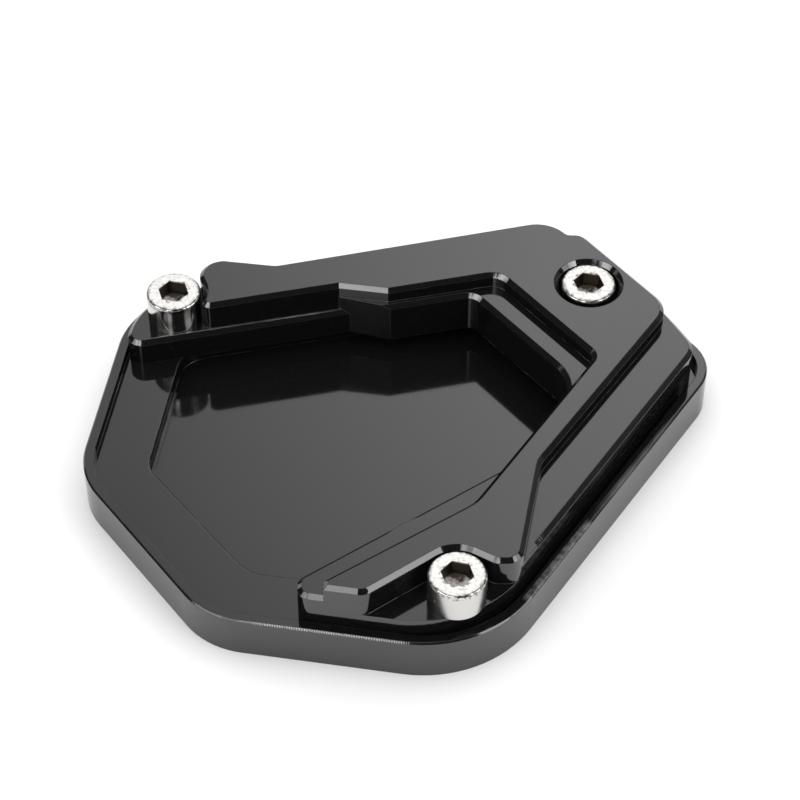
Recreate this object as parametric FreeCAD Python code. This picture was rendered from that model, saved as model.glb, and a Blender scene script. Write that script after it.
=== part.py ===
# Side stand foot enlarger for a motorbike, milled from black anodised aluminium.
# A wide base plate has a raised rim, a shallow recess and a deeper pocket for the foot of the stand.
# A C-shaped clamp plate with three levels sits in the recess and reaches over the edge of the pocket.
# Three M6 socket head screws pull the clamp down, so that the foot is trapped between the two plates.
#
# Millimetres, +Z up, seen from above with the open mouth of the pocket at the lower left.
# The origin is on the ground, under the middle of the base plate's outline.

import FreeCAD
import Part
import math
import os

# Heights above the ground

POCKET_FLOOR_Z = 3.5        # floor that the foot of the stand rests on
RECESS_FLOOR_Z = 6.6        # floor inside the rim, which carries the clamp plate
RIM_TOP_Z = 8.6
SEAT_Z = 12.0               # flats under the heads of the screws
LEDGE_Z = 15.1
CLAMP_TOP_Z = 18.0

# Base plate: corners of the outline, with the radius of each

BASE_FRONT_LEFT = (-57.0, -10.7)
BASE_FRONT_LEFT_R = 15.0
BASE_FRONT = (-33.0, -42.9)
BASE_FRONT_R = 15.0
BASE_NOSE = (14.2, -50.7)
BASE_NOSE_R = 22.0
BASE_RIGHT = (58.0, 15.6)
BASE_RIGHT_R = 9.0
BASE_BACK_RIGHT = (30.8, 50.4)
BASE_BACK_RIGHT_R = 12.0
BASE_BACK_LEFT = (-50.3, 31.8)
BASE_BACK_LEFT_R = 16.0

RIM_WALL = 1.8              # width of the rim
RIM_CHAMFER = 0.3
CLAMP_FIT = 0.15            # gap between the rim and the clamp plate where the plate follows the rim

# Pocket in the base plate: three sides round the mouth, and the others under the clamp plate

POCKET_LEFT = (-44.95, -7.8)
POCKET_LEFT_R = 5.0
POCKET_FRONT = (-26.3, -31.8)
POCKET_FRONT_R = 8.0
POCKET_CORNER_R = 6.0
POCKET_UNDERCUT = 2.0       # how far the pocket reaches under the clamp plate

# Directions of the clamp plate's sides, in degrees from the X axis

INNER_BACK_ANGLE = 12.5     # inner sides at the back
SHOULDER_ANGLE = -51.2      # inner sides at the right shoulder
ARM_ANGLE = 57.0            # inner side of the right arm
FOREARM_ANGLE = 34.9        # inner side of the front arm
STEP_BACK_ANGLE = -15.5     # short step of the ledge on the inner back side

# Outer sides of the clamp plate

BACK_DIP = (-23.1, 32.4)    # shallow corner between the left lobe and the straight back
BACK_DIP_R = 3.0
LOBE_ANGLE = -7.9           # back of the left lobe
LOBE_R = 2.5
BACK_CORNER = (28.1, 44.5)
BACK_CORNER_R = 7.0
BACK_CUSP = (31.2, 40.7)
BACK_CUSP_R = 0.8
SHOULDER = (33.9, 40.6)
SHOULDER_R = 2.8
LEDGE_CORNER = (53.5, 13.7)
LEDGE_CORNER_R = 4.8
LEDGE_BACK_ANGLE = -61.2    # outer side of the ledge behind its corner
LEDGE_SIDE_ANGLE = 56.7     # outer side of the ledge, down to the front screw
FRONT_CORNER_R = 21.0
ARM_END_X = -17.25          # left end of the front arm
ARM_END_R = 2.2

# Inner sides of the clamp plate, each through one point

INNER_LEFT_POINT = (-34.8, 20.3)
INNER_MIDDLE_POINT = (10.1, 26.5)
INNER_SHOULDER_POINT = (14.9, 25.2)
INNER_ARM_POINT = (32.6, 5.7)
INNER_FOREARM_POINT = (9.6, -21.0)
INNER_STEP_POINT = (-9.4, 25.9)
INNER_SHOULDER_R = 9.0
INNER_MIDDLE_R = 3.0
INNER_ELBOW_R = 6.0
SEAT_END_R = 2.7

# Upper block of the clamp plate

UPPER_SEAT_STRIP = 1.0      # how far it stands back from the seat's edge on the inner left side
UPPER_STEP_POINT = (-2.8, 25.2)
UPPER_STEP_ANGLE = -8.6
UPPER_MIDDLE_BACK = 1.35    # how far it stands back from the ledge in the middle
UPPER_SHOULDER_POINT = (20.1, 26.9)
UPPER_SHOULDER_R = 2.0
UPPER_MIDDLE_R = 3.6
UPPER_RIGHT = (49.1, 21.1)
UPPER_RIGHT_R = 5.8
UPPER_ELBOW = (24.1, -16.4)
UPPER_ELBOW_R = 5.0
UPPER_NOSE = (20.5, -36.2)
NOSE_BOTTOM_Y = -38.6
NOSE_R = 2.8
UPPER_FOREARM_POINT = (2.7, -31.9)
UPPER_FOREARM_ANGLE = 34.0
UPPER_ARM_END_X = -12.8
UPPER_ELBOW_INNER_R = 8.0
FRONT_SCALLOP_RIGHT = 60.0  # where the scallop round the front screw starts and ends, in degrees
FRONT_SCALLOP_LEFT = 125.8
NOTCH_CORNER_R = 3.0
LEFT_SCALLOP_LOW = -12.0    # where the scallop round the left screw starts and ends, in degrees
LEFT_SCALLOP_HIGH = 20.0
LEFT_LOBE_R = 4.0
LEFT_TIP_R = 1.5

CLAMP_CHAMFER = 0.8
SHARP_EDGE_REACH = 16.0     # outer edges below the top have no chamfer this near to the front screw

# Screws

LEFT_SCREW = (-41.6, 25.0)
RIGHT_SCREW = (34.4, 27.2)
FRONT_SCREW = (9.25, -41.3)
HEAD_DIAMETER = 10.0
HEAD_HEIGHT = 6.0
HEAD_EDGE_R = 0.6
SHANK_DIAMETER = 6.0
SHANK_LENGTH = 10.0
SHANK_CHAMFER = 0.7
SOCKET_ACROSS_FLATS = 5.0
SOCKET_DEPTH = 3.0
SOCKET_CONE_ANGLE = 30.0    # slope of the drilled bottom of the socket
SOCKET_TURN = -13.0         # bearing of one corner of each socket, as the screws came to rest

HEAD_CLEARANCE = 0.6        # between a head and the wall round it
SHANK_CLEARANCE = 0.3       # between a shank and its hole in the clamp plate
THREAD_CLEARANCE = 0.05     # between a shank and its hole in the base plate


# Lines and outlines in the plan

def line_at(point, angle):
    """A line through a point, as its point and its unit direction."""
    turn = math.radians(angle)
    return point, (math.cos(turn), math.sin(turn))


def line_between(first, second):
    """The line through two points or corners."""
    return line_at(first[:2], math.degrees(math.atan2(second[1] - first[1], second[0] - first[0])))


def moved(line, distance):
    """A line moved to its left by a distance."""
    (x, y), (dx, dy) = line
    return (x - dy * distance, y + dx * distance), (dx, dy)


def meet(first, second):
    """The point where two lines cross."""
    (x1, y1), (dx1, dy1) = first
    (x2, y2), (dx2, dy2) = second
    along = ((x2 - x1) * dy2 - (y2 - y1) * dx2) / (dx1 * dy2 - dy1 * dx2)
    return x1 + along * dx1, y1 + along * dy1


def beside_circle(centre, radius, side):
    """A line that touches a circle, where side is the way from the centre to the touching point."""
    return moved(line_at(centre, side + 90), -radius)


def turn_at(before, corner, after):
    """How far the outline turns at a corner, in radians, positive to the left."""
    first = math.atan2(corner[1] - before[1], corner[0] - before[0])
    second = math.atan2(after[1] - corner[1], after[0] - corner[0])
    return (second - first + math.pi) % (2 * math.pi) - math.pi


def inset(corners, distance):
    """The corners of an outline that runs clockwise, with every side moved inwards."""
    count = len(corners)
    result = []
    for index in range(count):
        before = corners[index - 1]
        here = corners[index]
        after = corners[(index + 1) % count]
        side_in = moved(line_between(before, here), -distance)
        side_out = moved(line_between(here, after), -distance)
        outer_corner = turn_at(before, here, after) < 0
        radius = here[2] - distance if outer_corner else here[2] + distance
        result.append((*meet(side_in, side_out), max(radius, 0.0)))
    return result


def outline_face(corners):
    """A flat face inside an outline of corners, each given as x, y and radius."""
    count = len(corners)
    edges = []
    starts = []
    ends = []
    middles = []
    for index in range(count):
        before = corners[index - 1]
        here = corners[index]
        after = corners[(index + 1) % count]
        half_turn = abs(turn_at(before, here, after)) / 2
        cut = here[2] * math.tan(half_turn)
        to_before = unit(here, before)
        to_after = unit(here, after)
        starts.append(FreeCAD.Vector(here[0] + cut * to_before[0], here[1] + cut * to_before[1], 0))
        ends.append(FreeCAD.Vector(here[0] + cut * to_after[0], here[1] + cut * to_after[1], 0))
        inward = unit((0, 0), (to_before[0] + to_after[0], to_before[1] + to_after[1]))
        depth = here[2] * (1 / math.cos(half_turn) - 1)
        middles.append(FreeCAD.Vector(here[0] + depth * inward[0], here[1] + depth * inward[1], 0))
    for index in range(count):
        if corners[index][2] > 0:
            edges.append(Part.Arc(starts[index], middles[index], ends[index]).toShape())
        edges.append(Part.makeLine(ends[index], starts[(index + 1) % count]))
    return Part.Face(Part.Wire(edges))


def unit(start, end):
    """The unit direction from one point to another."""
    dx = end[0] - start[0]
    dy = end[1] - start[1]
    length = math.hypot(dx, dy)
    return dx / length, dy / length


def block(corners, bottom, top):
    """A block with an outline, between two heights."""
    face = outline_face(corners)
    face.translate(FreeCAD.Vector(0, 0, bottom))
    return face.extrude(FreeCAD.Vector(0, 0, top - bottom))


def top_edges(shape, height):
    """The edges that lie at one height."""
    found = []
    for edge in shape.Edges:
        box = edge.BoundBox
        if abs(box.ZMin - height) < 1e-6 and abs(box.ZMax - height) < 1e-6:
            found.append(edge)
    return found


def edge_on(shape, height, line):
    """The straight edge at one height that lies on a line of the plan."""
    (x, y), (dx, dy) = line
    for edge in top_edges(shape, height):
        middle = edge.CenterOfMass
        beside = (middle.x - x) * dy - (middle.y - y) * dx
        if abs(beside) < 1e-4:
            return edge
    raise ValueError("no edge at this height lies on the line")


def first_upright_edge(shape, line):
    """The upright edge over a line of the plan that comes first along the line."""
    (x, y), (dx, dy) = line
    found = {}
    for edge in shape.Edges:
        box = edge.BoundBox
        middle = edge.CenterOfMass
        beside = (middle.x - x) * dy - (middle.y - y) * dx
        if box.XLength < 1e-4 and box.YLength < 1e-4 and abs(beside) < 1e-4:
            found[(middle.x - x) * dx + (middle.y - y) * dy] = edge
    return found[min(found)]


def cylinder(centre, radius, bottom, top):
    """An upright cylinder between two heights."""
    return Part.makeCylinder(radius, top - bottom, FreeCAD.Vector(centre[0], centre[1], bottom))


# Outlines of the base plate

BASE = [
    (*BASE_BACK_LEFT, BASE_BACK_LEFT_R),
    (*BASE_BACK_RIGHT, BASE_BACK_RIGHT_R),
    (*BASE_RIGHT, BASE_RIGHT_R),
    (*BASE_NOSE, BASE_NOSE_R),
    (*BASE_FRONT, BASE_FRONT_R),
    (*BASE_FRONT_LEFT, BASE_FRONT_LEFT_R),
]
RECESS = inset(BASE, RIM_WALL)
CLAMP_LIMIT = inset(RECESS, CLAMP_FIT)

# Sides of the clamp plate, each as a line

limit_back = line_between(CLAMP_LIMIT[0], CLAMP_LIMIT[1])
limit_front = line_between(CLAMP_LIMIT[3], CLAMP_LIMIT[4])
limit_left = line_between(CLAMP_LIMIT[5], CLAMP_LIMIT[0])
lobe_back = line_at(BACK_DIP, LOBE_ANGLE)
shoulder_side = line_between(SHOULDER, UPPER_RIGHT)
ledge_back = line_at(LEDGE_CORNER, LEDGE_BACK_ANGLE)
ledge_side = line_at(LEDGE_CORNER, LEDGE_SIDE_ANGLE)
arm_end = line_at((ARM_END_X, 0), 90)
inner_left = line_at(INNER_LEFT_POINT, INNER_BACK_ANGLE)
inner_step = line_at(INNER_STEP_POINT, STEP_BACK_ANGLE)
inner_middle = line_at(INNER_MIDDLE_POINT, INNER_BACK_ANGLE)
inner_shoulder = line_at(INNER_SHOULDER_POINT, SHOULDER_ANGLE)
inner_arm = line_at(INNER_ARM_POINT, ARM_ANGLE)
inner_forearm = line_at(INNER_FOREARM_POINT, FOREARM_ANGLE)

# Sides of the upper block of the clamp plate

head_pocket_radius = HEAD_DIAMETER / 2 + HEAD_CLEARANCE
upper_left = moved(inner_left, UPPER_SEAT_STRIP)
upper_step = line_at(UPPER_STEP_POINT, UPPER_STEP_ANGLE)
upper_middle = moved(inner_middle, UPPER_MIDDLE_BACK)
upper_shoulder = line_at(UPPER_SHOULDER_POINT, SHOULDER_ANGLE)
upper_forearm = line_at(UPPER_FOREARM_POINT, UPPER_FOREARM_ANGLE)
upper_arm_end = line_at((UPPER_ARM_END_X, 0), 90)
upper_side = line_between(UPPER_ELBOW, UPPER_NOSE)
nose_bottom = line_at((0, NOSE_BOTTOM_Y), 0)
nose_left = beside_circle(FRONT_SCREW, head_pocket_radius, FRONT_SCALLOP_RIGHT)
notch_wall = beside_circle(FRONT_SCREW, head_pocket_radius, FRONT_SCALLOP_LEFT)
scallop_low = beside_circle(LEFT_SCREW, head_pocket_radius, LEFT_SCALLOP_LOW)
scallop_high = beside_circle(LEFT_SCREW, head_pocket_radius, LEFT_SCALLOP_HIGH)

# Corners that the outlines of the clamp plate's levels share, clockwise seen from above

LEFT_SCALLOP = [
    (*meet(upper_left, scallop_low), LEFT_TIP_R),
    (*meet(scallop_low, scallop_high), head_pocket_radius),
    (*meet(scallop_high, limit_back), LEFT_LOBE_R),
]
BACK_SIDE = [
    (*meet(limit_back, lobe_back), LOBE_R),
    (*BACK_DIP, BACK_DIP_R),
    (*BACK_CORNER, BACK_CORNER_R),
    (*BACK_CUSP, BACK_CUSP_R),
    (*SHOULDER, SHOULDER_R),
]
LEDGE_OUTER = [
    (*meet(shoulder_side, ledge_back), 0),
    (*LEDGE_CORNER, LEDGE_CORNER_R),
]
FRONT_NOTCH = [
    (*meet(ledge_side, nose_bottom), NOSE_R),
    (*meet(nose_bottom, nose_left), NOSE_R),
    (*meet(nose_left, notch_wall), head_pocket_radius),
    (*meet(notch_wall, limit_front), NOTCH_CORNER_R),
]
ARM_AND_INNER = [
    (*meet(limit_front, arm_end), ARM_END_R),
    (*meet(arm_end, inner_forearm), ARM_END_R),
    (*meet(inner_forearm, inner_arm), INNER_ELBOW_R),
    (*meet(inner_arm, inner_shoulder), INNER_SHOULDER_R),
    (*meet(inner_shoulder, inner_middle), INNER_MIDDLE_R),
    (*meet(inner_middle, inner_step), 0),
]

# Outlines of the clamp plate's three levels

SEAT_LEVEL = [
    (*meet(inner_left, limit_left), 0),
    (*meet(limit_left, limit_back), 0),
    *BACK_SIDE,
    *LEDGE_OUTER,
    (*meet(ledge_side, limit_front), FRONT_CORNER_R),
    *ARM_AND_INNER,
    (*meet(inner_step, inner_left), 0),
]
LEDGE_LEVEL = [
    *LEFT_SCALLOP,
    *BACK_SIDE,
    *LEDGE_OUTER,
    *FRONT_NOTCH,
    *ARM_AND_INNER,
    (*meet(inner_step, upper_left), 0),
]
TOP_LEVEL = [
    *LEFT_SCALLOP,
    *BACK_SIDE,
    (*UPPER_RIGHT, UPPER_RIGHT_R),
    (*UPPER_ELBOW, UPPER_ELBOW_R),
    (*meet(upper_side, ledge_side), 0),
    *FRONT_NOTCH,
    (*meet(limit_front, upper_arm_end), 0),
    (*meet(upper_arm_end, upper_forearm), 0),
    (*meet(upper_forearm, inner_arm), UPPER_ELBOW_INNER_R),
    (*meet(inner_arm, upper_shoulder), UPPER_SHOULDER_R),
    (*meet(upper_shoulder, upper_middle), UPPER_MIDDLE_R),
    (*meet(upper_middle, upper_step), 0),
    (*meet(upper_step, upper_left), 0),
]

# Outline of the pocket, which stays parallel to the sides of the two plates

pocket_left = (POCKET_LEFT, line_between(BASE_FRONT_LEFT, BASE_BACK_LEFT)[1])
pocket_back = moved(inner_left, POCKET_UNDERCUT)
pocket_shoulder = moved(inner_shoulder, POCKET_UNDERCUT)
pocket_arm = moved(inner_arm, -POCKET_UNDERCUT)
pocket_forearm = moved(inner_forearm, -POCKET_UNDERCUT)
pocket_front = (POCKET_FRONT, line_between(BASE_FRONT, BASE_NOSE)[1])
POCKET = [
    (*meet(pocket_left, pocket_back), POCKET_CORNER_R),
    (*meet(pocket_back, pocket_shoulder), POCKET_CORNER_R),
    (*meet(pocket_shoulder, pocket_arm), POCKET_CORNER_R),
    (*meet(pocket_arm, pocket_forearm), POCKET_CORNER_R),
    (*meet(pocket_forearm, pocket_front), POCKET_CORNER_R),
    (*POCKET_FRONT, POCKET_FRONT_R),
    (*POCKET_LEFT, POCKET_LEFT_R),
]

# Base plate

base_plate = block(BASE, 0, RIM_TOP_Z)
base_plate = base_plate.makeChamfer(RIM_CHAMFER, top_edges(base_plate, RIM_TOP_Z))
base_plate = base_plate.cut(block(RECESS, RECESS_FLOOR_Z, RIM_TOP_Z))
base_plate = base_plate.cut(block(POCKET, POCKET_FLOOR_Z, RIM_TOP_Z))
for spot in (LEFT_SCREW, RIGHT_SCREW, FRONT_SCREW):
    thread_hole = cylinder(spot, SHANK_DIAMETER / 2 + THREAD_CLEARANCE, 0, RIM_TOP_Z)
    base_plate = base_plate.cut(thread_hole)

# Clamp plate: three levels, each with its chamfer, joined into one solid
# An edge that is chamfered takes its smooth neighbours with it

clamp_room = block(CLAMP_LIMIT, RECESS_FLOOR_Z, CLAMP_TOP_Z)
seat = block(SEAT_LEVEL, RECESS_FLOOR_Z, SEAT_Z).common(clamp_room)
seat = seat.makeFillet(SEAT_END_R, [first_upright_edge(seat, inner_left)])
seat = seat.makeChamfer(CLAMP_CHAMFER, [edge_on(seat, SEAT_Z, inner_left)])
plain_ledge = block(LEDGE_LEVEL, RECESS_FLOOR_Z, LEDGE_Z).common(clamp_room)
sharp_reach = cylinder(FRONT_SCREW, SHARP_EDGE_REACH, RECESS_FLOOR_Z, LEDGE_Z)
ledge = plain_ledge.makeChamfer(CLAMP_CHAMFER, [edge_on(plain_ledge, LEDGE_Z, ledge_side)])
top = block(TOP_LEVEL, RECESS_FLOOR_Z, CLAMP_TOP_Z).common(clamp_room)
top = top.makeChamfer(CLAMP_CHAMFER, top_edges(top, CLAMP_TOP_Z))
clamp_plate = seat.fuse([ledge, plain_ledge.common(sharp_reach), top]).removeSplitter()

# Counterbore for the head of the right screw, wider at the top by a chamfer, and the holes for the shanks

head_bore = cylinder(RIGHT_SCREW, head_pocket_radius, SEAT_Z, CLAMP_TOP_Z)
clamp_plate = clamp_plate.cut(head_bore)
bore_chamfer = Part.makeCone(
    head_pocket_radius,
    head_pocket_radius + CLAMP_CHAMFER,
    CLAMP_CHAMFER,
    FreeCAD.Vector(RIGHT_SCREW[0], RIGHT_SCREW[1], CLAMP_TOP_Z - CLAMP_CHAMFER),
)
clamp_plate = clamp_plate.cut(bore_chamfer)
for spot in (LEFT_SCREW, RIGHT_SCREW, FRONT_SCREW):
    shank_hole = cylinder(spot, SHANK_DIAMETER / 2 + SHANK_CLEARANCE, RECESS_FLOOR_Z, CLAMP_TOP_Z)
    clamp_plate = clamp_plate.cut(shank_hole)


# Screws

def socket_screw(spot):
    """A socket head screw whose head stands on the seat, with a hexagonal socket in the head."""
    head = cylinder(spot, HEAD_DIAMETER / 2, SEAT_Z, SEAT_Z + HEAD_HEIGHT)
    head = head.makeFillet(HEAD_EDGE_R, top_edges(head, SEAT_Z + HEAD_HEIGHT))
    shank_end_z = SEAT_Z - SHANK_LENGTH
    shank = cylinder(spot, SHANK_DIAMETER / 2, shank_end_z, SEAT_Z)
    shank = shank.makeChamfer(SHANK_CHAMFER, top_edges(shank, shank_end_z))
    corner_reach = SOCKET_ACROSS_FLATS / math.sqrt(3)
    corners = []
    for turn in range(6):
        bearing = math.radians(SOCKET_TURN - 60 * turn)
        corners.append((spot[0] + corner_reach * math.cos(bearing), spot[1] + corner_reach * math.sin(bearing), 0))
    socket_floor_z = SEAT_Z + HEAD_HEIGHT - SOCKET_DEPTH
    socket = block(corners, socket_floor_z, SEAT_Z + HEAD_HEIGHT)
    cone_radius = SOCKET_ACROSS_FLATS / 2
    cone_depth = cone_radius * math.tan(math.radians(SOCKET_CONE_ANGLE))
    cone_tip = FreeCAD.Vector(spot[0], spot[1], socket_floor_z - cone_depth)
    drilled_end = Part.makeCone(0, cone_radius, cone_depth, cone_tip)
    return head.fuse(shank).cut(socket).cut(drilled_end)


# Parts, moved so that the middle of the base plate's outline is over the origin

parts = {
    "base_plate": base_plate,
    "clamp_plate": clamp_plate,
    "screw_left": socket_screw(LEFT_SCREW),
    "screw_right": socket_screw(RIGHT_SCREW),
    "screw_front": socket_screw(FRONT_SCREW),
}
outline_box = base_plate.BoundBox
to_middle = FreeCAD.Vector(-outline_box.Center.x, -outline_box.Center.y, 0)
os.makedirs("parts", exist_ok=True)
for name, shape in parts.items():
    shape.translate(to_middle)
    shape.exportStep("parts/" + name + ".step")
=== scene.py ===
"""Looks of a kickstand foot enlarger: black anodised plates with bright screws, in a white studio.

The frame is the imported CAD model, +Z up, with the origin on the ground under the middle of the
base plate. Lengths are in metres, and angles are in degrees where nothing else is said. Nothing
is moved or reshaped here: each class dresses its own nodes, and the studio and the camera are
set round them.
"""

import logging
import math
from abc import ABC, abstractmethod
from dataclasses import dataclass
from enum import Enum
from functools import partial, reduce

import bpy
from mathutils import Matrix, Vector

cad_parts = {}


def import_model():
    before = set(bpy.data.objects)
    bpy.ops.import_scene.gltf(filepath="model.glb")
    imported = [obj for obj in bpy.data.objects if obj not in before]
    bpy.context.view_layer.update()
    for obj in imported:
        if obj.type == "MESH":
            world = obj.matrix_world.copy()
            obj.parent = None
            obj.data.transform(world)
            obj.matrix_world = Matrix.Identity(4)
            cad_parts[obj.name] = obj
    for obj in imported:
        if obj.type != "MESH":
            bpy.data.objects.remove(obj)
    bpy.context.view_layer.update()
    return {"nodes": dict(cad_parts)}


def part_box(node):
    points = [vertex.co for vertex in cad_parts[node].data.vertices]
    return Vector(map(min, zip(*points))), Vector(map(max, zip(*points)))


log = logging.getLogger("foot_enlarger")

Colour = tuple[float, float, float]
Inputs = dict[str | int, object]
PlanPoint = tuple[float, float]
Point = tuple[float, float, float]
Range = tuple[float, float]
Socket = bpy.types.NodeSocket

ORIGIN: Point = (0.0, 0.0, 0.0)
IN_PLAN: Point = (1.0, 1.0, 0.0)
WHITE: Colour = (1.0, 1.0, 1.0)

# What a mask gives at the start and at the end of its range.
RISING: Range = (0.0, 1.0)
FALLING: Range = (1.0, 0.0)

# Places of the mix node's sockets, whose names are the same for numbers and for colours.
MIX_SHARE = 0
MIX_NUMBERS = (2, 3)
MIX_COLOURS = (6, 7)
MIX_COLOUR_RESULT = 2

# The angle in radians that a wave texture of scale 1 turns through in a metre.
WAVE_TURN = 20.0

# With this distance a bump node takes heights in metres.
BUMP_DISTANCE = 1.0

# The upright part of the normal on a 45-degree slope.
SLANT_RISE = math.sqrt(0.5)


class Lay(Enum):
    """The pattern that a tool leaves on a level face, as Blender's wave texture names it."""

    STRAIGHT = "BANDS"
    ARCS = "RINGS"


class Detail(Enum):
    """How many finer layers a noise has."""

    SMOOTH = 0.0
    COARSE = 1.0
    EVEN = 2.0
    FINE = 3.0
    FINEST = 4.0


class Polish(Enum):
    """How bright the side of a screw's head is, as the least and the most roughness."""

    MIRROR = (0.09, 0.14)
    SATIN = (0.20, 0.28)


def opaque(colour: Colour) -> tuple[float, float, float, float]:
    """Gives a colour the full opacity that colour sockets ask for."""
    return (*colour, 1.0)


def around(base: float, offsets: Range) -> Range:
    """The range that starts and ends at these offsets from a value."""
    return (base + offsets[0], base + offsets[1])


@dataclass
class NodeSheet:
    """A node tree, with short calls that add and join its nodes.

    Attributes:
        tree: The tree of a material or a world.
    """

    tree: bpy.types.NodeTree

    def __post_init__(self) -> None:
        """Clears the tree, so that it holds only what is added here."""
        self.tree.nodes.clear()

    @classmethod
    def of(cls, owner: bpy.types.Material | bpy.types.World) -> "NodeSheet":
        """Opens the node tree of a material or a world."""
        owner.use_nodes = True
        return cls(owner.node_tree)

    def add(self, kind: str, inputs: Inputs | None = None, **settings: object) -> bpy.types.Node:
        """Adds a node.

        Args:
            kind: The node's type name, such as ShaderNodeTexNoise.
            inputs: Sockets or values for its inputs, by their names or places.
            **settings: Values for the node's own attributes.

        Returns:
            The new node.
        """
        node = self.tree.nodes.new(kind)
        for name, value in settings.items():
            setattr(node, name, value)
        for name, value in (inputs or {}).items():
            self._feed(value, node.inputs[name])
        return node

    def _feed(self, value: object, target: Socket) -> None:
        """Joins a socket to an input, or writes a number or vector into it.

        Args:
            value: An output socket, a number or a vector.
            target: The input socket.
        """
        if isinstance(value, Socket):
            self.tree.links.new(value, target)
        else:
            target.default_value = value

    def compute(self, operation: str, first: object, second: object = 0.0) -> Socket:
        """Adds a math node, whose second number some operations ignore."""
        return self.add("ShaderNodeMath", {0: first, 1: second}, operation=operation).outputs[0]

    def sum(self, *numbers: object) -> Socket:
        """Adds up several numbers."""
        return reduce(partial(self.compute, "ADD"), numbers)

    def product(self, *numbers: object) -> Socket:
        """Multiplies several numbers."""
        return reduce(partial(self.compute, "MULTIPLY"), numbers)

    def larger(self, first: Socket, second: object) -> Socket:
        """The larger of two numbers."""
        return self.compute("MAXIMUM", first, second)

    def rest(self, share: Socket) -> Socket:
        """What is left of 1 after a share is taken away."""
        return self.compute("SUBTRACT", 1.0, share)

    def vector(self, operation: str, first: object, second: object = ORIGIN) -> bpy.types.Node:
        """Adds a vector math node, whose outputs are named Vector and Value."""
        return self.add("ShaderNodeVectorMath", {0: first, 1: second}, operation=operation)

    def dot(self, first: Socket, second: object) -> Socket:
        """The dot product of two vectors."""
        return self.vector("DOT_PRODUCT", first, second).outputs["Value"]

    def minus(self, first: Socket, second: Point) -> Socket:
        """The difference of two vectors."""
        return self.vector("SUBTRACT", first, second).outputs["Vector"]

    def axis(self, vector: Socket, name: str) -> Socket:
        """One coordinate of a vector, which is named X, Y or Z."""
        return self.add("ShaderNodeSeparateXYZ", {0: vector}).outputs[name]

    def stretched(self, place: Socket, scale: Point, angle: float = 0.0) -> Socket:
        """Scales coordinates along the axes, and then turns them about Z."""
        inputs = {"Vector": place, "Scale": scale, "Rotation": (0.0, 0.0, math.radians(angle))}
        return self.add("ShaderNodeMapping", inputs).outputs[0]

    def spread(self, value: Socket, old: Range, new: Range = RISING, smooth: bool = False) -> Socket:
        """Maps a number from one range to another, clamped.

        Args:
            value: The number's socket.
            old: The range it comes in.
            new: The range it goes to.
            smooth: Whether it eases in and out instead of following a straight line.

        Returns:
            The mapped number's socket.
        """
        inputs = {"Value": value, "From Min": old[0], "From Max": old[1], "To Min": new[0], "To Max": new[1]}
        style = "SMOOTHSTEP" if smooth else "LINEAR"
        return self.add("ShaderNodeMapRange", inputs, interpolation_type=style).outputs[0]

    def blend(self, share: Socket, low: object, high: object) -> Socket:
        """Mixes two numbers, the first at share 0 and the second at share 1."""
        inputs = {MIX_SHARE: share, **dict(zip(MIX_NUMBERS, (low, high)))}
        return self.add("ShaderNodeMix", inputs, data_type="FLOAT").outputs[0]

    def tint(self, share: Socket, low: Colour | Socket, high: Colour | Socket) -> Socket:
        """Mixes two colours.

        Args:
            share: How much of the second colour is taken, from 0 to 1.
            low: The colour at share 0.
            high: The colour at share 1.

        Returns:
            The mixed colour's socket.
        """
        ends = (colour if isinstance(colour, Socket) else opaque(colour) for colour in (low, high))
        inputs = {MIX_SHARE: share, **dict(zip(MIX_COLOURS, ends))}
        return self.add("ShaderNodeMix", inputs, data_type="RGBA").outputs[MIX_COLOUR_RESULT]

    def noise(self, place: Socket, size: float, detail: Detail = Detail.EVEN) -> Socket:
        """Adds a noise texture with largest features of this size, and a middle value of about 0.5."""
        inputs = {"Vector": place, "Scale": 1.0 / size, "Detail": detail.value}
        return self.add("ShaderNodeTexNoise", inputs).outputs["Fac"]

    def waves(self, place: Socket, pitch: float, wander: float, pattern: Lay) -> Socket:
        """Adds a wave texture along X, or round the Z axis where the pattern is arcs.

        Args:
            place: The coordinates' socket.
            pitch: The distance from one crest to the next.
            wander: How much the lines stray from straight.
            pattern: Straight lines or arcs.

        Returns:
            The wave's socket, from 0 to 1.
        """
        inputs = {
            "Vector": place,
            "Scale": math.tau / (WAVE_TURN * pitch),
            "Distortion": wander,
            "Detail": Detail.COARSE.value,
        }
        node = self.add("ShaderNodeTexWave", inputs, wave_type=pattern.value, rings_direction="Z")
        return node.outputs["Fac"]

    def relief(self, height: Socket, normal: Socket | None = None) -> Socket:
        """Adds a bump node.

        Args:
            height: The surface's height.
            normal: The normal that it stands on, or None for the mesh's own.

        Returns:
            The normal with the relief in it.
        """
        inputs = {"Height": height, "Distance": BUMP_DISTANCE}
        if normal is not None:
            inputs["Normal"] = normal
        return self.add("ShaderNodeBump", inputs).outputs["Normal"]

    def finish(self, shader: Socket, kind: str = "ShaderNodeOutputMaterial") -> None:
        """Joins a shader to the tree's output, a node of the given kind."""
        self.add(kind, {"Surface": shader})


@dataclass(frozen=True)
class Patches:
    """Uneven patches, cut out of a noise.

    Attributes:
        size: The size of the largest.
        edge: Values of the noise where a patch starts and where it is full.
        strength: What is given outside the patches and in them.
        detail: How ragged they are.
    """

    size: float
    edge: Range
    strength: Range = RISING
    detail: Detail = Detail.EVEN

    def draw(self, sheet: NodeSheet, place: Socket) -> Socket:
        """Draws the patches, and gives their strength at the coordinates."""
        return sheet.spread(sheet.noise(place, self.size, self.detail), self.edge, self.strength)


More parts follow.
